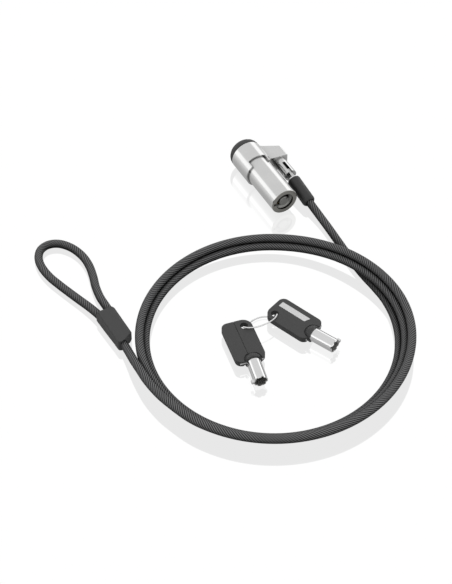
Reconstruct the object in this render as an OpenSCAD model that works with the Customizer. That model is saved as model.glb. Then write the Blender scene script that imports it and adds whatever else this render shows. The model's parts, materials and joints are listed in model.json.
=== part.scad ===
// Laptop cable lock: a tubular key lock head with a T-bar for a 3 x 7 mm
// security slot, a steel cable with an anchor eye, and two keys on a wire ring.
// Frame: the origin is the centre of the nose face on the lock axis,
// +X runs along the lock axis to the key end, +Z is up, and the set lies on
// the plane z = -collar_d / 2.

/* [Lock head] */
// outer diameter of the lock barrel
barrel_d = 15.9; // [14:0.1:18]
// distance from the nose face to the key face
head_l = 48; // [42:0.5:55]
// outer diameter of the swivel collar
collar_d = 18.2; // [17:0.1:21]
// distance from the nose face to the collar's rear edge
collar_x0 = 4.8; // [4.4:0.1:6]
// distance from the nose face to the floor of the collar's top notch
notch_x = 17.1; // [14:0.1:19]
// distance from the nose face to the collar's front edge
collar_x1 = 21.4; // [19:0.1:24]
// diameter of the rubber nose at its face
nose_d = 15.2; // [12:0.1:16]

/* [Key and cylinder] */
// outer diameter of the tubular key shaft
key_d = 7.5; // [7:0.1:9]
// inner diameter of the tubular key shaft
key_bore_d = 6.3; // [6:0.1:7]
// diameter of the centre post in the keyway
post_d = 5.8; // [5.6:0.1:5.9]
// number of tumbler pins
pins = 7; // [5:1:8]
// diameter of a tumbler pin
pin_d = 0.9; // [0.8:0.05:1]

/* [T-bar] */
// length of the T-bar's cross head
tee_l = 6.4; // [6:0.1:6.8]
// width of the T-bar's cross head
tee_w = 2.5; // [2.2:0.1:2.8]
// how far the T-bar reaches out of the nose face
tee_reach = 3.4; // [3:0.1:4]

/* [Cable] */
// outer diameter of the sheathed cable
cable_d = 4.5; // [4:0.1:5.5]
// centreline radius of the lowest turn of the coil
coil_r = 66; // [60:0.5:75]
// how much wider each further turn is
turn_dr = 3.1; // [3.1:0.1:4.6]
// how much higher each further turn lies
turn_dz = 3.3; // [3.3:0.1:4.5]

/* [Cable hinge] */
// distance from the nose face to the hinge pin
hinge_x = 27.4; // [26:0.1:30]
// sideways distance from the lock axis to the middle of the fork
hinge_y = 14.5; // [13.5:0.1:16]
// height of the hinge pin relative to the lock axis
hinge_z = -2; // [-3:0.1:0]
// diameter of the round fork
fork_d = 7.2; // [6.4:0.1:7.6]
// width of the slot between the fork's ears
fork_gap = 1.8; // [1.4:0.1:3]
// downward lean of the cable boot
boot_lean = 7.5; // [0:0.5:15]
// diameter of the moulded cable boot
boot_d = 7.4; // [6.6:0.1:8]
// length of the moulded cable boot
boot_l = 17.8; // [15:0.1:25]

/* [Key bows] */
// thickness of the plastic bow
bow_t = 3.4; // [3:0.1:6]
// length of the key shaft outside the bow
shaft_l = 14.4; // [12:0.1:20]
// diameter of the round boss where the shaft enters the bow
boss_d = 9.2; // [8.6:0.1:10]

/* [Hidden] */
$fn = 64;
floor_z = -collar_d / 2;
barrel_r = barrel_d / 2;
collar_r = collar_d / 2;
neck_r = 6.95;
barrel_bore = 6.0;
lip_r = 5.3;
lip_x = head_l - 1.25;
shoulder_x = notch_x + 0.15;
rotor_x0 = 30;
groove_x = head_l - 6;
post_r = post_d / 2;
guide_r = key_d / 2 + 0.25;
pin_pitch_r = (key_d + key_bore_d) / 4;
pin_turn = 13;
spindle_r = 2.55;
spindle_x0 = 3.4;
t_bar_stem_r = 1.25;
t_bar_stem_x = 6.4;
clip_x = 9.5;
clip_w = 0.8;
clip_groove_r = 2.1;
stator_x0 = 21.2;
stator_x1 = 29.85;
spring_x0 = 22.4;
driver_x0 = 27.2;
stator_pin_x = 26;
stator_pin_r = 0.8;
stator_pin_z = -7.85;
nose_plate_x0 = 3.2;
nose_plate_r = 4.6;
lug_x1 = 17.8;
lug_y1 = 19.8;
fork_x0 = 13.5;
fork_x1 = 29.9;
fork_slot_x = 21.7;
eye_r = 2.6;
tongue_w = fork_gap - 0.2;
hinge_pin_r = 1.0;
boot_s0 = 6.0;
boot_s1 = boot_s0 + boot_l;
boot_rod_r = 1.9;
boot_rod_s = 9.6;
ferrule_r = 2.5;
ferrule_l = 7;
rim_t = 0.7;
coil_c = [125.8, -52.8];
cable_r = cable_d / 2;
lay_z = floor_z + cable_r;
turns = 3;
sleeve_h = 7;
boss_r = boss_d / 2;
key_z = floor_z + boss_r;
key_1_at = [136.4, -70.2];
key_1_turn = -13.6;
key_2_at = [135.3, -34];
key_2_turn = 24;
// The bow stands a little askew on the shaft.
bow_skew = -3.4;
bow_x = [-27.3, 0.4];
bow_y = [-7.3, 8.9];
bow_corner = 3.4;
bow_eye_corner = 5.2;
bow_groove = 0.5;
bow_hole = [-23, -3];
bow_hole_r = 2.1;
tang_x = -6;
tang_y = [-5.6, 7.2];
tang_t = 1.1;
wire_r = 0.4;

// Route of the cable from the boot to the first turn: x, y, height of the centreline.
lead_pts = [
    [43.9, 14.5, -4.17], [51, 14.5, -5.1], [57, 14.6, -5.9], [63, 14.6, -6.5],
    [70, 14.4, -6.8], [78, 13.9, -6.85], [87, 13.3, -6.85], [96, 12.8, -6.85],
    [105, 12.4, -6.85]];

// Route from the last turn through the crimp sleeve, round the eye and back.
eye_pts = [
    [150.6, -120.7, -0.1], [141.2, -123.2, -0.1], [132.2, -124.9, -0.2],
    [123.7, -125.5, -0.4], [115.2, -125.1, -1.1], [108.2, -124.5, -2.5],
    [101.7, -123.6, -4.1], [95.2, -122.9, -5.3], [88.2, -123, -5.6],
    [80.2, -123.8, -5.7], [70.2, -124.7, -5.8], [62, -126.2, -6.4],
    [54, -128.5, -6.8], [46, -131, -6.85], [38, -133.4, -6.85], [30, -135.4, -6.85],
    [22, -136, -6.85], [15, -134.7, -6.85], [9.8, -131, -6.85], [8.3, -125.4, -6.85],
    [10.8, -119.8, -6.85], [17, -115.4, -6.85], [25, -113.2, -6.85],
    [33, -113.2, -6.85], [41, -114.8, -6.85], [49, -117.1, -6.8], [57, -118.5, -6.4],
    [64, -118.8, -5.9], [72.2, -118.8, -5.7], [82.2, -118.8, -5.6]];

// Route of the ring wire, which goes down through one bow hole and up the other.
ring_pts = [
    [115.7, -64.1, -2.1], [114.9, -63.8, -2.9], [114.2, -63.1, -4.5],
    [113.4, -62.2, -6.2], [111.9, -60.6, -7.7], [110.1, -57.6, -8],
    [109.3, -53.8, -8], [109.6, -50, -8], [111.1, -47, -7.8], [113.1, -45.5, -6.8],
    [114.3, -45, -5.9], [114.9, -44.8, -4.5], [115.5, -44.4, -3],
    [116.5, -44.6, -2.1], [118.2, -46.8, -2], [119.2, -50.4, -2],
    [119.4, -54.4, -2], [119, -58.4, -2], [117.5, -62.1, -2]];

function unit(v) = v / norm(v);
function tangent(p, i) = let (n = len(p) - 1)
    unit(p[min(i + 1, n)] - p[max(i - 1, 0)]);
function ring_tangent(p, i) = let (n = len(p)) unit(p[(i + 1) % n] - p[(i + n - 1) % n]);
function side_axis(t) = unit(cross(t, abs(t[2]) > 0.8 ? [0, 1, 0] : [0, 0, 1]));
function circle_at(c, a, b, r, sides) = [for (k = [0:sides - 1])
    let (q = 360 * (k + 0.5) / sides) c + r * (cos(q) * a + sin(q) * b)];
function quads(rings, sides, closed) = [for (i = [0:rings - (closed ? 1 : 2)], k = [0:sides - 1])
    let (j = (i + 1) % rings, l = (k + 1) % sides)
    [i * sides + k, i * sides + l, j * sides + l, j * sides + k]];

module lay_tube(p, r, sides = 12) {
    rings = [for (i = [0:len(p) - 1]) let (t = tangent(p, i), a = side_axis(t))
        circle_at(p[i], a, cross(t, a), r, sides)];
    polyhedron([for (g = rings) each g],
        concat([[for (k = [sides - 1:-1:0]) k]], quads(len(p), sides, false),
            [[for (k = [0:sides - 1]) (len(p) - 1) * sides + k]]));
}

module lay_loop(p, r, sides = 8) {
    // One fixed side axis, so the closed wire has no twist.
    rings = [for (i = [0:len(p) - 1]) let (t = ring_tangent(p, i),
        a = unit(cross(t, [0.85, -0.2, 0.5])))
        circle_at(p[i], a, cross(t, a), r, sides)];
    polyhedron([for (g = rings) each g], quads(len(p), sides, true));
}

module along_x(x0, x1, r) translate([x0, 0, 0]) rotate([0, 90, 0]) cylinder(h = x1 - x0, r = r);

// A body of revolution about the X axis, from [x, radius] points.
module spun(profile) rotate([0, 90, 0]) rotate([0, 0, 90]) rotate_extrude()
    polygon([for (q = profile) [q[1], q[0]]]);

module pin_row(x0, x1, r) for (k = [0:pins - 1]) rotate([360 * k / pins + pin_turn, 0, 0])
    translate([0, 0, pin_pitch_r]) along_x(x0, x1, r);

module at_hinge() translate([hinge_x, hinge_y, hinge_z]) children();
// The boot's own axis: local +Z runs from the hinge pin along the cable.
module boot_axis() at_hinge() rotate([0, 90 + boot_lean, 0]) children();

module barrel() color("silver") difference() {
    union() {
        spun([[shoulder_x, 0], [shoulder_x, barrel_r], [head_l - 0.35, barrel_r],
            [head_l, barrel_r - 0.35], [head_l, 0]]);
        along_x(4.3, shoulder_x + 1, neck_r);
    }
    along_x(4.2, 12, nose_plate_r);
    along_x(11.9, stator_x0, spindle_r + 0.15);
    along_x(stator_x0 - 0.2, lip_x, barrel_bore);
    along_x(lip_x - 1, head_l + 1, lip_r);
    // Index notch for the key's nib, in the lip.
    rotate([-2, 0, 0]) translate([lip_x - 1, -6.8, -0.8]) cube([4, 3, 1.6]);
    stator_pin_hole();
}

module stator_pin_hole() translate([stator_pin_x, 0, -9]) cylinder(h = 4.3, r = stator_pin_r);

module lug_block() {
    root_y = 5.5;
    intersection() {
        translate([0, 0, -12]) linear_extrude(24) polygon([[collar_x0, root_y],
            [collar_x0, 7.4], [5.6, 8.4], [6.4, 9.8], [9.3, 18.2], [9.7, 19],
            [10.4, 19.6], [11.3, lug_y1], [17.1, lug_y1], [17.5, 19.6], [lug_x1, 19.1],
            [lug_x1, root_y]]);
        rotate([90, 0, 90]) linear_extrude(30) polygon([[root_y, 4.15], [18.7, 2.25],
            [lug_y1 - 0.4, 1.9], [lug_y1, 1.3], [lug_y1, -7.2], [18.8, -7.8],
            [root_y, -6.2]]);
    }
}

// A sector from angle a0 to a1, measured from +Y towards +Z, from x0 forward.
module sector(x0, a0, a1) translate([x0, 0, 0]) rotate([90, 0, 90]) linear_extrude(10)
    polygon([[0, 0], for (k = [0:8]) let (a = a0 + (a1 - a0) * k / 8) 20 * [cos(a), sin(a)]]);

module collar() color("silver") difference() {
    union() {
        difference() {
            spun([[collar_x0, 0], [collar_x0, collar_r - 0.3], [collar_x0 + 0.3, collar_r],
                [collar_x1, collar_r], [collar_x1, 0]]);
            // The front skirt is open over the top and beside the lug.
            sector(notch_x, 56, 127);
            sector(notch_x, -60, 46);
        }
        lug_block();
    }
    along_x(collar_x0 - 1, shoulder_x, neck_r + 0.05);
    along_x(notch_x, collar_x1 + 1, barrel_r + 0.1);
    // Socket for the fork's base.
    translate([0, hinge_y, hinge_z]) along_x(fork_x0, lug_x1 + 1, fork_d / 2);
}

module nose_plate() color("dimgray") difference() {
    union() {
        along_x(nose_plate_x0, 4.25, 8);
        along_x(4.2, clip_x - 0.3, nose_plate_r);
    }
    along_x(nose_plate_x0 - 1, clip_x, spindle_r + 0.05);
}

module guide_pegs() color("silver") for (s = [-1, 1])
    translate([-1.6, s * 2.4 - 0.9, -1.25]) cube([1.6 + nose_plate_x0, 1.8, 2.5]);

module nose_bumper() color([0.16, 0.16, 0.16]) difference() {
    nr = nose_d / 2;
    spun([[0, 0], [0, nr - 0.6], [0.18, nr - 0.18], [0.6, nr], [1.5, nr + 0.75],
        [2.6, nr + 1.2], [3.8, nr + 1.4], [collar_x0 - 0.1, nr + 1.4],
        [collar_x0 - 0.1, 8], [nose_plate_x0, 8], [nose_plate_x0, 0]]);
    along_x(-1, 5, 3.7);
}

// Stepped shaft through the whole head: T-bar seat, clip groove and key post.
module spindle() color("gray") difference() {
    spun([[spindle_x0, 0], [spindle_x0, spindle_r], [groove_x, spindle_r], [groove_x, post_r],
        [head_l - 0.75, post_r], [head_l - 0.5, post_r - 0.25], [head_l - 0.5, 0]]);
    along_x(spindle_x0 - 1, t_bar_stem_x, t_bar_stem_r);
    difference() {
        along_x(clip_x, clip_x + clip_w, 4);
        along_x(clip_x - 1, clip_x + 2, clip_groove_r);
    }
    // Slot that the key turns.
    rotate([46, 0, 0]) translate([groove_x + 1, post_r - 0.9, -0.5]) cube([8, 2, 1]);
}

module spindle_clip() color("gray") difference() {
    along_x(clip_x, clip_x + clip_w, 3.8);
    along_x(clip_x - 1, clip_x + 2, clip_groove_r);
    // The mouth that lets the clip snap on from the side.
    translate([clip_x - 0.1, 0, -0.9]) cube([1, 4, 1.8]);
}

module t_bar() color("silver") {
    along_x(-tee_reach + 1.3, t_bar_stem_x, t_bar_stem_r);
    intersection() {
        translate([-tee_reach, -tee_l / 2, -tee_w / 2]) cube([1.4, tee_l, tee_w]);
        along_x(-tee_reach - 1, 0, tee_l / 2);
    }
}

// Drum of the key pins, pressed on the spindle behind its post.
module rotor() color("gray") difference() {
    along_x(rotor_x0, groove_x, barrel_bore - 0.05);
    along_x(rotor_x0 - 1, groove_x + 1, spindle_r);
    pin_row(rotor_x0 - 1, groove_x + 1, pin_d / 2 + 0.03);
}

module key_pins() color("goldenrod") pin_row(31.4, groove_x + 1, pin_d / 2);

module stator() color("gray") difference() {
    along_x(stator_x0, stator_x1, barrel_bore - 0.02);
    along_x(stator_x0 - 1, stator_x1 + 1, spindle_r + 0.05);
    pin_row(spring_x0, stator_x1 + 1, pin_d / 2 + 0.08);
    stator_pin_hole();
}

module driver_pins() color("goldenrod") pin_row(driver_x0, stator_x1 - 0.1, pin_d / 2);

module pin_springs() color("silver") difference() {
    pin_row(spring_x0, driver_x0, pin_d / 2 + 0.03);
    pin_row(spring_x0 - 1, driver_x0 + 1, pin_d / 2 - 0.15);
}

module stator_pin() color("gray") translate([stator_pin_x, 0, stator_pin_z])
    cylinder(h = 3.1, r = stator_pin_r);

module key_guide() color([0.43, 0.43, 0.41]) difference() {
    spun([[groove_x + 0.3, 5.3], [groove_x + 0.3, barrel_bore - 0.02],
        [lip_x, barrel_bore - 0.02], [lip_x, 5.25], [lip_x - 1.1, guide_r],
        [groove_x + 1.6, guide_r], [groove_x + 1.6, 5.3]]);
    rotate([-2, 0, 0]) translate([groove_x + 1, -5.25, -0.8]) cube([6, 3, 1.6]);
}

// Round fork: a bar pressed in the lug, with a slot that leaves two ears.
module fork() color("silver") difference() {
    translate([0, hinge_y, hinge_z]) along_x(fork_x0, fork_x1, fork_d / 2);
    translate([fork_slot_x, hinge_y - fork_gap / 2, hinge_z - fork_d])
        cube([fork_x1, fork_gap, 2 * fork_d]);
    at_hinge() rotate([90, 0, 0]) cylinder(h = 20, r = hinge_pin_r, center = true);
}

module hinge_pin() color("silver") at_hinge() rotate([90, 0, 0])
    cylinder(h = fork_d - 0.5, r = hinge_pin_r, center = true);

// Flat blade with a round eye, which carries the boot's rim and rod.
module tongue() color("silver") difference() {
    union() {
        at_hinge() rotate([90, 0, 0]) cylinder(h = tongue_w, r = eye_r, center = true);
        boot_axis() translate([-eye_r, -tongue_w / 2, 0]) cube([2 * eye_r, tongue_w, boot_s0 - 0.2]);
        boot_axis() translate([0, 0, boot_s0 - 1.6]) cylinder(h = 1.4, r1 = 1.5, r2 = eye_r);
        boot_axis() translate([0, 0, boot_s0 - 0.5]) cylinder(h = boot_rod_s - boot_s0 + 0.5, r = boot_rod_r);
    }
    at_hinge() rotate([90, 0, 0]) cylinder(h = 20, r = hinge_pin_r + 0.06, center = true);
}

module boot_rim() color("silver") boot_axis() translate([0, 0, boot_s0 - rim_t]) difference() {
    cylinder(h = rim_t, r = boot_d / 2 - 0.25);
    translate([0, 0, -1]) cylinder(h = 3, r = eye_r + 0.2);
}

module boot() color([0.2, 0.2, 0.2]) boot_axis() difference() {
    br = boot_d / 2;
    rotate_extrude() polygon([[0, boot_s0], [br - 0.35, boot_s0], [br, boot_s0 + 0.35],
        [br, boot_s1 - 1.6], [br - 0.2, boot_s1 - 0.8], [br - 0.7, boot_s1 - 0.2],
        [br - 1, boot_s1], [0, boot_s1]]);
    translate([0, 0, boot_s0 - 1]) cylinder(h = boot_rod_s - boot_s0 + 1, r = boot_rod_r);
    translate([0, 0, boot_rod_s - 0.1]) cylinder(h = ferrule_l + 0.1, r = ferrule_r);
    translate([0, 0, boot_rod_s + ferrule_l - 0.1]) cylinder(h = 10, r = cable_r);
}

module cable_ferrule() color("silver") boot_axis() translate([0, 0, boot_rod_s])
    cylinder(h = ferrule_l, r = ferrule_r);

module cable_lead() color([0.25, 0.25, 0.25]) lay_tube(lead_pts, cable_r);

// The turns lie in a slanting stack, each wider and higher than the last.
module cable_coil() color([0.25, 0.25, 0.25]) translate([coil_c[0], coil_c[1], 0])
    rotate_extrude($fn = 96) {
        for (k = [0:turns - 1]) translate([coil_r + k * turn_dr, lay_z + k * turn_dz]) circle(r = cable_r);
        translate([coil_r, lay_z]) rotate([0, 0, atan2(turn_dz, turn_dr)]) translate([0, -2])
            square([(turns - 1) * norm([turn_dr, turn_dz]), 4]);
    }

module cable_eye() color([0.25, 0.25, 0.25]) lay_tube(eye_pts, cable_r);

// Moulded sleeve over the crimp: two cable widths across, skewed at the cable end.
module crimp_sleeve() color([0.22, 0.22, 0.22]) difference() {
    translate([0, 0, floor_z]) intersection() {
        linear_extrude(sleeve_h) hull() {
            for (c = [[70.6, -117.9], [70.8, -125.7], [92, -124.1], [89, -117.9]])
                translate(c) circle(r = 1.6, $fn = 32);
        }
        // Its long sides are half round.
        rotate([90, 0, 90]) translate([0, 0, 60]) linear_extrude(40) {
            translate([-125.8, 0]) square([7.9, sleeve_h]);
            for (y = [-124.1, -119.1]) translate([y, sleeve_h / 2]) circle(r = sleeve_h / 2);
        }
    }
    translate([74, -121.7, floor_z + sleeve_h / 2]) rotate([0, 90, 0]) cylinder(h = 1, r = 0.5);
}

module crimp_ferrule() color("silver") translate([75, -121.4, -5.65]) rotate([0, 90, 0])
    intersection() {
        cylinder(h = 10, r = 4.8);
        translate([-2.6, -6, 0]) cube([5.2, 12, 10]);
    }

// A key's own frame: +X along the shaft, the bow behind the origin.
module key_frame(at, turn, flip) translate([at[0], at[1], key_z]) rotate([0, 0, turn])
    rotate([flip ? 180 : 0, 0, 0]) children();

// The steel tang that the bow is moulded over; grow lengthens it past the bow's edge.
module tang(grow) rotate([0, 0, bow_skew]) translate([tang_x, tang_y[0], -tang_t / 2])
    cube([bow_x[1] - tang_x - 0.15 + grow, tang_y[1] - tang_y[0], tang_t]);

module key_tube() difference() {
    union() {
        spun([[-1, 0], [-1, key_d / 2], [shaft_l - 0.3, key_d / 2],
            [shaft_l, key_d / 2 - 0.3], [shaft_l, 0]]);
        tang(0);
        // Nib that indexes the key in the lock.
        translate([shaft_l - 1.9, key_d / 2 - 0.6, -0.75]) cube([1.9, 1.8, 1.5]);
    }
    along_x(4, shaft_l + 1, key_bore_d / 2);
    // Scalloped mouth: one cut for each tumbler pin, of four depths.
    for (k = [0:pins - 1]) rotate([360 * k / pins + pin_turn, 0, 0])
        translate([shaft_l - 0.4 - 0.15 * (3 * k % 4), 0, pin_pitch_r]) along_x(0, 5, 0.65);
}

module bow_corner_at(x, y, r) translate([x, y]) circle(r = r, $fn = 32);

// Round corners, the largest beside the ring's hole.
module bow_outline() hull() {
    bow_corner_at(bow_x[0] + bow_eye_corner, bow_y[0] + bow_eye_corner, bow_eye_corner);
    bow_corner_at(bow_x[0] + bow_corner, bow_y[1] - bow_corner, bow_corner);
    for (y = [bow_y[0] + bow_corner, bow_y[1] - bow_corner])
        bow_corner_at(bow_x[1] - bow_corner, y, bow_corner);
}

// Round boss at the root of the shaft, domed towards the bow; grow adds to its radius.
module boss(grow) spun([[-4 - grow, 0], [-3.9 - grow, 1.4], [-3.3 - grow, 2.7 + grow],
    [-2.3 - grow, 3.7 + grow], [-1.1, boss_r - 0.15 + grow], [-0.1, boss_r + grow],
    [0.7, boss_r + grow], [0.7, 0]]);

module key_bow() difference() {
    union() {
        difference() {
            rotate([0, 0, bow_skew]) translate([0, 0, -bow_t / 2]) linear_extrude(bow_t)
                bow_outline();
            // Groove round the boss, in both faces.
            difference() {
                boss(bow_groove);
                translate([-9, -9, -bow_t / 2 + 0.6]) cube([18, 18, bow_t - 1.2]);
            }
        }
        boss(0);
    }
    rotate([0, 0, bow_skew]) translate([bow_hole[0], bow_hole[1], -5]) cylinder(h = 10, r = bow_hole_r);
    along_x(-1, 2, key_d / 2);
    tang(2);
    // Parting line along the back.
    rotate([0, 0, bow_skew]) translate([bow_x[0] - 1, 1.3, -bow_t / 2 - 1]) cube([24, 0.35, 1.3]);
}

module label_plate() rotate([0, 0, bow_skew]) translate([0, 0, bow_t / 2 - 0.3]) linear_extrude(0.42)
    polygon([[-24.9, 2.6], [-7.8, 2.6], [-6.4, 6], [-24.9, 6]]);

module key_1_tube() color("silver") key_frame(key_1_at, key_1_turn, true) key_tube();
module key_1_bow() color([0.25, 0.25, 0.25]) key_frame(key_1_at, key_1_turn, true) key_bow();
module key_2_tube() color("silver") key_frame(key_2_at, key_2_turn, false) key_tube();
module key_2_bow() color([0.25, 0.25, 0.25]) key_frame(key_2_at, key_2_turn, false)
    difference() {
        key_bow();
        label_plate();
    }
module key_2_label() color("lightgray") key_frame(key_2_at, key_2_turn, false) label_plate();
module key_ring() color("silver") lay_loop(ring_pts, wire_r);

barrel();
collar();
nose_plate();
guide_pegs();
nose_bumper();
spindle();
spindle_clip();
t_bar();
rotor();
key_pins();
stator();
driver_pins();
pin_springs();
stator_pin();
key_guide();
fork();
hinge_pin();
tongue();
boot_rim();
boot();
cable_ferrule();
cable_lead();
cable_coil();
cable_eye();
crimp_sleeve();
crimp_ferrule();
key_ring();
key_1_tube();
key_1_bow();
key_2_tube();
key_2_bow();
key_2_label();
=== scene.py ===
# Looks of the laptop cable lock: materials, rounded and detailed pieces, and the
# cable at its real length. Metres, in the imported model's own frame.
import bmesh
import bpy
import math
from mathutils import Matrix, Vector
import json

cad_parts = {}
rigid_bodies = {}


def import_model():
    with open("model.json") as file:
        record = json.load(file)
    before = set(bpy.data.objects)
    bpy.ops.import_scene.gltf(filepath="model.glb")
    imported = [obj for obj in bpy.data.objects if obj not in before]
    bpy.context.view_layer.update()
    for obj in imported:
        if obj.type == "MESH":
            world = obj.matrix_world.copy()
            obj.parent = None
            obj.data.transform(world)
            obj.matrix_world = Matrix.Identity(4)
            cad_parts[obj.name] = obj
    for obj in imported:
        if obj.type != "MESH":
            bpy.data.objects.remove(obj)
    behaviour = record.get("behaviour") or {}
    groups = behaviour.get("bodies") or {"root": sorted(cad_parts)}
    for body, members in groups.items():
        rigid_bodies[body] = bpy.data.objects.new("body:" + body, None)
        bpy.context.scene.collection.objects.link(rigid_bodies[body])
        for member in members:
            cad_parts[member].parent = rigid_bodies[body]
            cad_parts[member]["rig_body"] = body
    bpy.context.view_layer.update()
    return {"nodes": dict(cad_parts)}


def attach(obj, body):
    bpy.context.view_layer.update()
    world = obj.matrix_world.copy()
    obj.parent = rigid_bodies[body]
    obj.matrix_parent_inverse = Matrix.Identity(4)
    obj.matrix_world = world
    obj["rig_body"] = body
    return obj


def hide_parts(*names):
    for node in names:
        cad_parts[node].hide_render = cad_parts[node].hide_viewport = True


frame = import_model()
nodes = frame["nodes"]
MM = 0.001
FLOOR_Z = -9.1 * MM


# ---------------------------------------------------------------- camera

CAM_AT = (0.68765, -0.3931, 0.7449)
CAM_LOOK = (-0.5903, 0.3286, -0.7373)
LENS = 118.05


def add_camera():
    data = bpy.data.cameras.new("camera")
    cam = bpy.data.objects.new("camera", data)
    bpy.context.scene.collection.objects.link(cam)
    look = Vector(CAM_LOOK).normalized()
    cam.location = Vector(CAM_AT)
    cam.rotation_euler = look.to_track_quat("-Z", "Y").to_euler()
    data.sensor_width = 36
    data.sensor_fit = "AUTO"
    data.lens = LENS
    data.clip_start = 0.01
    data.clip_end = 20
    bpy.context.scene.camera = cam


add_camera()


# ---------------------------------------------------------------- curves and sweeps

def in_metres(points):
    """Points given in millimetres, as Vectors in metres."""
    return [Vector(tuple(c * MM for c in p)) for p in points]


def smooth_path(points, step):
    """Points every step along a Catmull-Rom curve through the given points."""
    p = [Vector(q) for q in points]
    p = [2 * p[0] - p[1]] + p + [2 * p[-1] - p[-2]]
    out = []
    for i in range(1, len(p) - 2):
        a, b, c, d = p[i - 1:i + 3]
        count = max(1, round((c - b).length / step))
        for k in range(count):
            t = k / count
            out.append(0.5 * (2 * b + (c - a) * t + (2 * a - 5 * b + 4 * c - d) * t * t
                              + (3 * b - a - 3 * c + d) * t ** 3))
    out.append(p[-2])
    return out


def new_object(name, bm, material, smooth=True):
    mesh = bpy.data.meshes.new(name)
    bm.to_mesh(mesh)
    bm.free()
    if smooth:
        mesh.shade_smooth()
    mesh.materials.append(material)
    obj = bpy.data.objects.new(name, mesh)
    bpy.context.scene.collection.objects.link(obj)
    return obj


def sweep(name, path, radius, sides, material, closed=False):
    """A round tube along path, with UVs: u once around, v in metres along."""
    count = len(path)
    bm = bmesh.new()
    uv = bm.loops.layers.uv.new("UVMap")
    rings, run = [], [0.0]
    side = Vector((0, 0, 1))
    for i, p in enumerate(path):
        before = path[i - 1] if (closed or i) else p
        after = path[(i + 1) % count] if (closed or i < count - 1) else p
        along = (after - before).normalized()
        side = (side - along * side.dot(along)).normalized()
        across = along.cross(side)
        rings.append([bm.verts.new(p + radius * (math.cos(a) * side + math.sin(a) * across))
                      for a in (2 * math.pi * k / sides for k in range(sides))])
        if i:
            run.append(run[-1] + (p - path[i - 1]).length)
    run.append(run[-1] + (path[0] - path[-1]).length)
    for i in range(count if closed else count - 1):
        a, b = rings[i], rings[(i + 1) % count]
        for k in range(sides):
            j = (k + 1) % sides
            face = bm.faces.new((a[k], a[j], b[j], b[k]))
            ends = ((k, i), (k + 1, i), (k + 1, i + 1), (k, i + 1))
            for loop, (u, v) in zip(face.loops, ends):
                loop[uv].uv = (u / sides, run[v])
    if not closed:
        bm.faces.new(list(reversed(rings[0])))
        bm.faces.new(rings[-1])
    return new_object(name, bm, material)


# ---------------------------------------------------------------- shader nodes
# Each of these takes the material or world that owns the node tree.

# A Mix node's sockets for A, B and the result, which differ with its data type.
MIX_SOCKETS = {"FLOAT": (2, 3, 0), "RGBA": (6, 7, 2)}
# Nearly all of a noise's values lie between these.
NOISE_LOW, NOISE_HIGH = 0.3, 0.7


def add(owner, kind, **settings):
    """A new node, with its inputs and properties set by name."""
    node = owner.node_tree.nodes.new(kind)
    for key, value in settings.items():
        if key in node.inputs:
            node.inputs[key].default_value = value
        else:
            setattr(node, key, value)
    return node


def join(owner, source, target):
    owner.node_tree.links.new(source, target)


def feed(owner, value, socket):
    """Gives a socket either another node's output or a plain value."""
    if isinstance(value, bpy.types.NodeSocket):
        join(owner, value, socket)
    else:
        socket.default_value = value


def fed(socket):
    """What reaches a socket now: the output linked to it, or its own value."""
    return socket.links[0].from_socket if socket.links else socket.default_value


def maths(owner, operation, *values):
    node = add(owner, "ShaderNodeMath", operation=operation)
    for socket, value in zip(node.inputs, values):
        feed(owner, value, socket)
    return node.outputs["Value"]


def mixed(owner, kind, factor, first, second, blend="MIX"):
    """Goes from first to second as factor goes from 0 to 1."""
    node = add(owner, "ShaderNodeMix", data_type=kind, blend_type=blend)
    a, b, result = MIX_SOCKETS[kind]
    for place, value in ((0, factor), (a, first), (b, second)):
        feed(owner, value, node.inputs[place])
    return node.outputs[result]


def mixed_shader(owner, factor, first, second):
    node = add(owner, "ShaderNodeMixShader")
    for socket, value in zip(node.inputs, (factor, first, second)):
        feed(owner, value, socket)
    return node.outputs["Shader"]


def ranged(owner, value, start, end, low, high):
    """Turns a value from start to end into one from low to high."""
    limits = {"From Min": start, "From Max": end, "To Min": low, "To Max": high}
    node = add(owner, "ShaderNodeMapRange", **limits)
    join(owner, value, node.inputs["Value"])
    return node.outputs["Result"]


def ramp(owner, factor, stops):
    """Colours along factor, from (position, colour) stops."""
    node = add(owner, "ShaderNodeValToRGB")
    elements = node.color_ramp.elements
    for i, (at, colour) in enumerate(stops):
        stop = elements[i] if i < 2 else elements.new(at)
        stop.position = at
        stop.color = (*colour, 1)
    join(owner, factor, node.inputs["Fac"])
    return node.outputs["Color"]


def grey_ramp(owner, factor, stops):
    return ramp(owner, factor, [(at, (value,) * 3) for at, value in stops])


# ---------------------------------------------------------------- materials

def material(name, colour, rough, metallic=0.0):
    mat = bpy.data.materials.new(name)
    mat.use_nodes = True
    bsdf = shader(mat)
    bsdf.inputs["Base Color"].default_value = (*colour, 1)
    bsdf.inputs["Roughness"].default_value = rough
    bsdf.inputs["Metallic"].default_value = metallic
    return mat


def shader(mat):
    return mat.node_tree.nodes["Principled BSDF"]


def noise(mat, scale, detail=3.0):
    """Noise in object coordinates, drawn out along an axis where its scale is small."""
    place = add(mat, "ShaderNodeTexCoord")
    mapping = add(mat, "ShaderNodeMapping", Scale=scale)
    join(mat, place.outputs["Object"], mapping.inputs["Vector"])
    node = add(mat, "ShaderNodeTexNoise", Scale=1.0, Detail=detail)
    join(mat, mapping.outputs["Vector"], node.inputs["Vector"])
    return node.outputs["Fac"]


def vary(mat, factor, low, high):
    """Lets a noise move the roughness between low and high."""
    rough = ranged(mat, factor, NOISE_LOW, NOISE_HIGH, low, high)
    join(mat, rough, shader(mat).inputs["Roughness"])


def tint(mat, factor, dark, light, low=0.35, high=0.65):
    """Lets factor move the colour from dark at low to light at high."""
    colour = ramp(mat, factor, [(low, dark), (high, light)])
    join(mat, colour, shader(mat).inputs["Base Color"])


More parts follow.
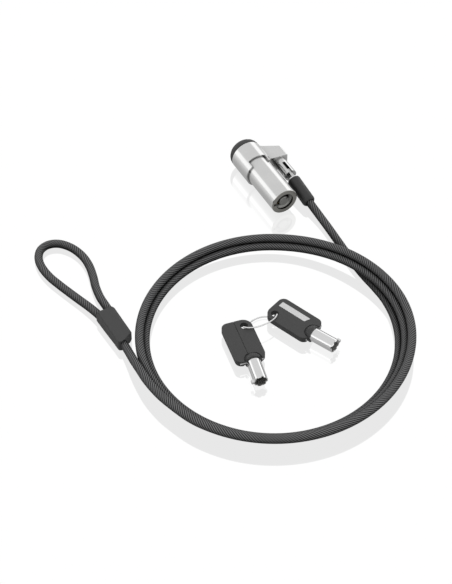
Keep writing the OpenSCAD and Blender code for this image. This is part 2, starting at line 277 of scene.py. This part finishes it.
def bump(mat, height, strength, distance):
    node = add(mat, "ShaderNodeBump", Strength=strength, Distance=distance)
    join(mat, height, node.inputs["Height"])
    join(mat, node.outputs["Normal"], shader(mat).inputs["Normal"])


def satin_nickel(name):
    """Plated die casting, brushed along X."""
    mat = material(name, (0.73, 0.73, 0.725), 0.15, 1.0)
    fine = noise(mat, (90, 5200, 5200), 2.0)
    vary(mat, fine, 0.12, 0.18)
    tint(mat, noise(mat, (90, 90, 90)), (0.71, 0.71, 0.705), (0.74, 0.74, 0.735))
    bump(mat, fine, 0.015, 0.01 * MM)
    return mat


def polished(name, colour, rough):
    mat = material(name, colour, rough, 1.0)
    smear = noise(mat, (420, 420, 420))
    vary(mat, smear, rough * 0.8, rough * 1.5)
    bump(mat, noise(mat, (900, 900, 900), 1.0), 0.015, 0.01 * MM)
    return mat


def turned(name, colour, rough):
    """Turned metal, with fine rings across the lathe's axis."""
    mat = material(name, colour, rough, 1.0)
    rings = noise(mat, (5200, 60, 60), 2.0)
    vary(mat, rings, rough * 0.8, rough * 1.3)
    bump(mat, rings, 0.15, 0.02 * MM)
    return mat


def moulded(name, grey, rough):
    """Spark-textured moulded plastic or rubber."""
    mat = material(name, (grey,) * 3, rough)
    shader(mat).inputs["Specular IOR Level"].default_value = 0.45
    texture = noise(mat, (3800, 3800, 3800), 2.0)
    patches = noise(mat, (300, 300, 300))
    vary(mat, patches, rough - 0.07, rough + 0.07)
    tint(mat, texture, (grey * 0.88,) * 3, (grey * 1.12,) * 3)
    bump(mat, texture, 0.22, 0.04 * MM)
    return mat


def lined(mat, reach, colour, rough, at=(0, 0, 0), turn=0.0, end=1.0):
    """Dull metal within reach of the axis that runs through at, and past end along it.

    The axis runs along X, turned about Z by turn degrees. An end of a metre is never met.
    """
    place = add(mat, "ShaderNodeTexCoord")
    local = add(mat, "ShaderNodeMapping", vector_type="TEXTURE", Location=at,
                Rotation=(0, 0, math.radians(turn)))
    join(mat, place.outputs["Object"], local.inputs["Vector"])
    part = add(mat, "ShaderNodeSeparateXYZ")
    join(mat, local.outputs["Vector"], part.inputs["Vector"])
    flat = add(mat, "ShaderNodeCombineXYZ")
    join(mat, part.outputs["Y"], flat.inputs["Y"])
    join(mat, part.outputs["Z"], flat.inputs["Z"])
    out = add(mat, "ShaderNodeVectorMath", operation="LENGTH")
    join(mat, flat.outputs["Vector"], out.inputs[0])
    inside = maths(mat, "LESS_THAN", out.outputs["Value"], reach)
    past = maths(mat, "GREATER_THAN", part.outputs["X"], end)
    dull = maths(mat, "MAXIMUM", inside, past)
    for socket, value, kind in (("Base Color", (*colour, 1), "RGBA"),
                                ("Roughness", rough, "FLOAT")):
        target = shader(mat).inputs[socket]
        join(mat, mixed(mat, kind, dull, fed(target), value), target)
    return mat


def paint_crease_shade(mat, distance, shine, power):
    """Painted shade: darker and less shiny where the surface lies close to another."""
    shade = add(mat, "ShaderNodeAmbientOcclusion", Distance=distance, samples=8)
    painted_shade = maths(mat, "POWER", shade.outputs["AO"], power)
    colour = shader(mat).inputs["Base Color"]
    join(mat, mixed(mat, "RGBA", 1.0, fed(colour), painted_shade, blend="MULTIPLY"), colour)
    join(mat, maths(mat, "MULTIPLY", painted_shade, shine), shader(mat).inputs["Specular IOR Level"])


def cable_sheath():
    """Smoked vinyl over a twisted wire rope: the strands show as slanting lines."""
    mat = material("cable_sheath", (0.07, 0.07, 0.072), 0.38)
    strands = 10
    lay = 16 * MM
    place = add(mat, "ShaderNodeTexCoord")
    part = add(mat, "ShaderNodeSeparateXYZ")
    join(mat, place.outputs["UV"], part.inputs["Vector"])
    around = maths(mat, "MULTIPLY", part.outputs["X"], strands * 2 * math.pi)
    # Minus, because the rope is laid right-handed.
    slanting = maths(mat, "MULTIPLY_ADD", part.outputs["Y"], -strands * 2 * math.pi / lay,
                     around)
    wave = maths(mat, "MULTIPLY_ADD", maths(mat, "SINE", slanting), 0.5, 0.5)
    tint(mat, wave, (0.028, 0.028, 0.0285), (0.215, 0.215, 0.217), 0.2, 1.0)
    # Painted shade: the sheath darkens between its turns and close to the floor.
    paint_crease_shade(mat, 20 * MM, 0.04, 1.9)
    bump(mat, wave, 0.4, 0.15 * MM)
    return mat


BRIGHT = (0.80, 0.80, 0.80)
BORE_R = 3.3 * MM
KEY_AXIS_Z = -4.5 * MM


def key_steel(name, x, y, turn):
    """A polished key tube with a dull bore, its axis through x, y in millimetres."""
    return lined(polished(name, BRIGHT, 0.10), BORE_R, (0.42, 0.42, 0.41), 0.6,
                 at=(x * MM, y * MM, KEY_AXIS_Z), turn=turn)


BARREL_LINING_R = 6.9 * MM
KEY_FACE_X = 47.8 * MM

NICKEL = satin_nickel("satin_nickel")
CHROME = polished("polished_steel", BRIGHT, 0.10)
WORKS = turned("lock_works", (0.24, 0.24, 0.23), 0.42)
BRASS = turned("brass_pins", (0.72, 0.52, 0.22), 0.25)
RUBBER = moulded("rubber_nose", 0.045, 0.62)
PLASTIC = moulded("moulded_black", 0.0435, 0.5)
BOOT = moulded("boot_black", 0.034, 0.45)
BARREL = lined(satin_nickel("barrel_nickel"), BARREL_LINING_R, (0.30, 0.295, 0.275), 0.3,
               end=KEY_FACE_X)
KEY_1_STEEL = key_steel("key_1_steel", 136.4, -70.2, -13.6)
KEY_2_STEEL = key_steel("key_2_steel", 135.3, -34, 24)
LABEL = polished("key_label", (0.74, 0.74, 0.74), 0.38)
SHEATH = cable_sheath()
# Painted shade in the creases of the nickel, the barrel and the boot.
for metal in (NICKEL, BARREL):
    paint_crease_shade(metal, 5 * MM, 0.5, 0.8)
paint_crease_shade(BOOT, 5 * MM, 0.4, 1.5)


# ---------------------------------------------------------------- cable

CABLE_R = 2.25 * MM
CABLE_SIDES = 28
LAY_Z = FLOOR_Z + CABLE_R
COIL_C = (125.8 * MM, -52.8 * MM)
COIL_R = 66 * MM

# The coil is wound clockwise. Its angles are turned back from RIGHT, the side that is
# on the right in the photo. FRONT is the side towards the camera. All are in degrees.
RIGHT = 60.9
FRONT = -29
COIL_START, COIL_END, COIL_STEP = -24, 846, 10
# Twice, the cable moves out and up to the next turn.
CHANGES = 2
CHANGE_AT, CHANGE_OVER = 270, 90
TURN_DR = 3.08 * MM
TURN_DZ = 3.28 * MM
# Each change passes over the lead in a long low hump, which pulls inwards a little.
HUMP = 1.3 * MM
HUMP_AT, HUMP_WIDTH = 311, 28
HUMP_PULL = 0.7
# The coil is tilted up towards its back. The shift carries a raised point towards the
# camera, so that it stays where the photo shows it.
TILT = 1.1 * MM
TILT_IN, TILT_OUT = 90, 66
TILT_SHIFT = (0.8, -0.45)

# From the boot to the first turn, in millimetres.
LEAD = [(47.2, 14.5, -4.6), (51, 14.5, -5.1), (57, 14.6, -5.9), (63, 14.6, -6.5),
        (70, 14.4, -6.8), (78, 13.9, -6.85), (87, 13.3, -6.85), (96, 12.8, -6.85),
        (105, 12.4, -6.85), (113, 12.5, -6.85), (121.5, 13, -6.85)]
# From the last turn through the sleeve, round the eye and back into the sleeve.
# Known fault: by its first points the last turn cuts up to 0.45 mm into the one below.
EYE = [(141.2, -123.2, -0.1), (132.2, -124.9, -0.2), (123.7, -125.5, -0.4),
       (115.2, -125.1, -1.1), (108.2, -124.5, -2.5), (101.7, -123.6, -4.1),
       (95.2, -122.9, -5.3), (88.2, -123, -5.6), (80.2, -123.8, -5.7),
       (70.2, -124.7, -5.8), (62, -126.2, -6.4), (54, -128.5, -6.8), (46, -131, -6.85),
       (38, -133.4, -6.85), (30, -135.4, -6.85), (22, -136, -6.85), (15, -134.7, -6.85),
       (9.8, -131, -6.85), (8.3, -125.4, -6.85), (10.8, -119.8, -6.85),
       (17, -115.4, -6.85), (25, -113.2, -6.85), (33, -113.2, -6.85),
       (41, -114.8, -6.85), (49, -117.1, -6.8), (57, -118.5, -6.4), (64, -118.8, -5.9),
       (72.2, -118.8, -5.7), (82.2, -118.8, -5.6)]


def ease(t):
    t = min(max(t, 0.0), 1.0)
    return t * t * (3 - 2 * t)


def coil_point(turned_by):
    """A point of the coil, by the angle turned clockwise since RIGHT."""
    place = math.radians(RIGHT - turned_by)
    turned = [turned_by - 360 * k for k in range(CHANGES)]
    steps = sum(ease((a - CHANGE_AT) / CHANGE_OVER) for a in turned)
    hump = HUMP * sum(math.exp(-((a - HUMP_AT) / HUMP_WIDTH) ** 2) for a in turned)
    tilt = TILT * (1 - math.cos(place - math.radians(FRONT)))
    tilt *= (ease((turned_by - COIL_START) / TILT_IN)
             * (1 - ease((turned_by - COIL_END + TILT_OUT) / TILT_OUT)))
    r = COIL_R + steps * TURN_DR - HUMP_PULL * hump
    return Vector((COIL_C[0] + r * math.cos(place) + TILT_SHIFT[0] * tilt,
                   COIL_C[1] + r * math.sin(place) + TILT_SHIFT[1] * tilt,
                   LAY_Z + steps * TURN_DZ + hump + tilt))


def cable_route():
    turns = [coil_point(a) for a in range(COIL_START, COIL_END + 1, COIL_STEP)]
    return in_metres(LEAD) + turns + in_metres(EYE)


def add_cable(sleeve):
    path = smooth_path(cable_route(), 1.0 * MM)
    # Flats at the cable's own radius, so that touching turns leave no gap.
    across = CABLE_R / math.cos(math.pi / CABLE_SIDES)
    cable = sweep("cable", path, across, CABLE_SIDES, SHEATH)
    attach(cable, "cable")
    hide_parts("cable_lead", "cable_coil", "cable_eye")


# ---------------------------------------------------------------- rounded CAD pieces

MERGE_WITHIN = 0.002 * MM
FLAT_ANGLE = 0.6
SHARP_ANGLE = 28
ROUND_SEGMENTS = 3


def rounded(node, mat, width):
    """The CAD node's own solid with its sharp edges rounded, in place of the node."""
    source = nodes[node]
    bm = bmesh.new()
    bm.from_mesh(source.data)
    bmesh.ops.remove_doubles(bm, verts=bm.verts, dist=MERGE_WITHIN)
    flat = math.radians(FLAT_ANGLE)
    bmesh.ops.dissolve_limit(bm, angle_limit=flat, verts=bm.verts, edges=bm.edges)
    piece = new_object(node + "_piece", bm, mat)
    bevel = piece.modifiers.new("round", "BEVEL")
    bevel.width = width * MM
    bevel.segments = ROUND_SEGMENTS
    bevel.limit_method = "ANGLE"
    bevel.angle_limit = math.radians(SHARP_ANGLE)
    bevel.use_clamp_overlap = True
    weighted = piece.modifiers.new("normals", "WEIGHTED_NORMAL")
    weighted.keep_sharp = True
    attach(piece, source["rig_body"])
    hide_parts(node)
    return piece


def finish_node(node, mat):
    """Shows the CAD node itself, which hardly any view reaches, in its material."""
    obj = nodes[node]
    obj.data.materials.clear()
    obj.data.materials.append(mat)


add_cable(rounded("crimp_sleeve", PLASTIC, 0.5))

# Node, material, and the width of its rounded edges in millimetres.
for name, mat, width in (
    ("collar", NICKEL, 0.12), ("barrel", BARREL, 0.12), ("nose_bumper", RUBBER, 0.2),
    ("fork", NICKEL, 0.12), ("tongue", NICKEL, 0.15), ("boot_rim", CHROME, 0.12),
    ("boot", BOOT, 0.35), ("key_1_bow", PLASTIC, 0.35), ("key_2_bow", PLASTIC, 0.35),
    ("key_1_tube", KEY_1_STEEL, 0.06), ("key_2_tube", KEY_2_STEEL, 0.06),
    ("key_2_label", LABEL, 0.05), ("t_bar", CHROME, 0.15), ("guide_pegs", WORKS, 0.12),
    ("hinge_pin", CHROME, 0.12),
):
    rounded(name, mat, width)

for name, mat in {
    "nose_plate": WORKS, "spindle": WORKS, "spindle_clip": WORKS, "rotor": WORKS,
    "key_pins": BRASS, "stator": WORKS, "driver_pins": BRASS, "pin_springs": CHROME,
    "stator_pin": WORKS, "key_guide": WORKS, "cable_ferrule": WORKS, "crimp_ferrule": WORKS,
}.items():
    finish_node(name, mat)


# ---------------------------------------------------------------- key ring

# The wire's route, in millimetres: down through one bow hole and up the other.
RING = [(115.7, -64.1, -2.1), (114.9, -63.8, -2.9), (114.2, -63.1, -4.5),
        (113.4, -62.2, -6.2), (111.9, -60.6, -7.7), (110.1, -57.6, -8), (109.3, -53.8, -8),
        (109.6, -50, -8), (111.1, -47, -7.8), (113.1, -45.5, -6.8), (114.3, -45, -5.9),
        (114.9, -44.8, -4.5), (115.5, -44.4, -3), (116.5, -44.6, -2.1), (118.2, -46.8, -2),
        (119.2, -50.4, -2), (119.4, -54.4, -2), (119, -58.4, -2), (117.5, -62.1, -2)]
WIRE_R = 0.4 * MM
WIRE_SIDES = 14
# Two points of one lap of the route that are closer than this are the same place.
LAP_WITHIN = 0.3 * MM


def add_ring():
    """One lap of wire, cut from a longer route so that its ends meet smoothly."""
    path = smooth_path(in_metres(RING[-2:] + RING + RING[:2]), 0.4 * MM)
    first = Vector(RING[0]) * MM
    start = min(range(len(path) // 2), key=lambda i: (path[i] - first).length)
    end = max(i for i, p in enumerate(path) if (p - path[start]).length < LAP_WITHIN)
    wire = sweep("key_ring_wire", path[start:end], WIRE_R, WIRE_SIDES, CHROME, closed=True)
    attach(wire, "key_ring")
    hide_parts("key_ring")


add_ring()


# ---------------------------------------------------------------- studio

# Brightness of the world by height, from the horizon at 0 to straight up at 1, on the
# lug's side of the head and on the far side.
LUG_SIDE = [(0.0, 1.35), (0.42, 1.35), (0.48, 0.8), (1.0, 0.8)]
FAR_SIDE = [(0.0, 0.8), (0.1, 1.3), (0.42, 1.3), (0.5, 0.8)]
SIDE_BLEND = 0.1
OVERHEAD = (0.1, 1.28)

# Brightness of the glowing floor by its distance in metres from the piece that sees it, in
# a mirror and in soft light. Its dimming close by is painted shade.
MIRRORED = [(0.0, 0.42), (0.01, 0.48), (0.05, 0.71), (0.15, 0.84)]
SOFT = [(0.0, 0.0), (0.006, 0.03), (0.03, 0.15), (0.15, 0.35)]
FLOOR_GLOW = 1.167
FLOOR_SHINE = 0.31
FLOOR_SIZE = 4
FLOOR_C = (0.1, -0.06)
FLOOR_GAP = 0.05 * MM


def add_world():
    """Mirrors see a grey dome with a white band low down; soft light is from overhead."""
    world = bpy.data.worlds.new("studio")
    bpy.context.scene.world = world
    world.use_nodes = True
    place = add(world, "ShaderNodeTexCoord")
    part = add(world, "ShaderNodeSeparateXYZ")
    join(world, place.outputs["Generated"], part.inputs["Vector"])
    height = part.outputs["Z"]
    side = ranged(world, part.outputs["Y"], -SIDE_BLEND, SIDE_BLEND, 0.0, 1.0)
    dome = mixed(world, "RGBA", side, grey_ramp(world, height, FAR_SIDE),
                 grey_ramp(world, height, LUG_SIDE))
    overhead = ranged(world, height, 0.0, 1.0, *OVERHEAD)
    path = add(world, "ShaderNodeLightPath")
    light = mixed(world, "RGBA", path.outputs["Is Diffuse Ray"], dome, overhead)
    back = world.node_tree.nodes["Background"]
    join(world, light, back.inputs["Color"])
    back.inputs["Strength"].default_value = 1.0


def add_floor():
    """White to the camera, with a faint reflection; to the pieces, a glow that dims close
    by as painted shade.
    """
    mat = bpy.data.materials.new("floor")
    mat.use_nodes = True
    mat.node_tree.nodes.clear()
    path = add(mat, "ShaderNodeLightPath")
    distance = path.outputs["Ray Length"]
    tone = mixed(mat, "RGBA", path.outputs["Is Glossy Ray"],
                 grey_ramp(mat, distance, SOFT), grey_ramp(mat, distance, MIRRORED))
    glow_with_painted_shade = add(mat, "ShaderNodeEmission")
    join(mat, tone, glow_with_painted_shade.inputs["Color"])
    glow = add(mat, "ShaderNodeEmission", Color=(1, 1, 1, 1), Strength=FLOOR_GLOW)
    gloss = add(mat, "ShaderNodeBsdfGlossy", Roughness=0.05)
    seen = mixed_shader(mat, FLOOR_SHINE, glow.outputs["Emission"], gloss.outputs["BSDF"])
    either = mixed_shader(mat, path.outputs["Is Camera Ray"], glow_with_painted_shade.outputs["Emission"], seen)
    out = add(mat, "ShaderNodeOutputMaterial")
    join(mat, either, out.inputs["Surface"])
    bm = bmesh.new()
    bmesh.ops.create_grid(bm, x_segments=1, y_segments=1, size=FLOOR_SIZE)
    floor = new_object("floor", bm, mat, smooth=False)
    floor.location = (*FLOOR_C, FLOOR_Z - FLOOR_GAP)


add_world()
add_floor()
bpy.context.scene.view_settings.view_transform = "Standard"


# ---------------------------------------------------------------- end


def write_sizes():
    import json


write_sizes()
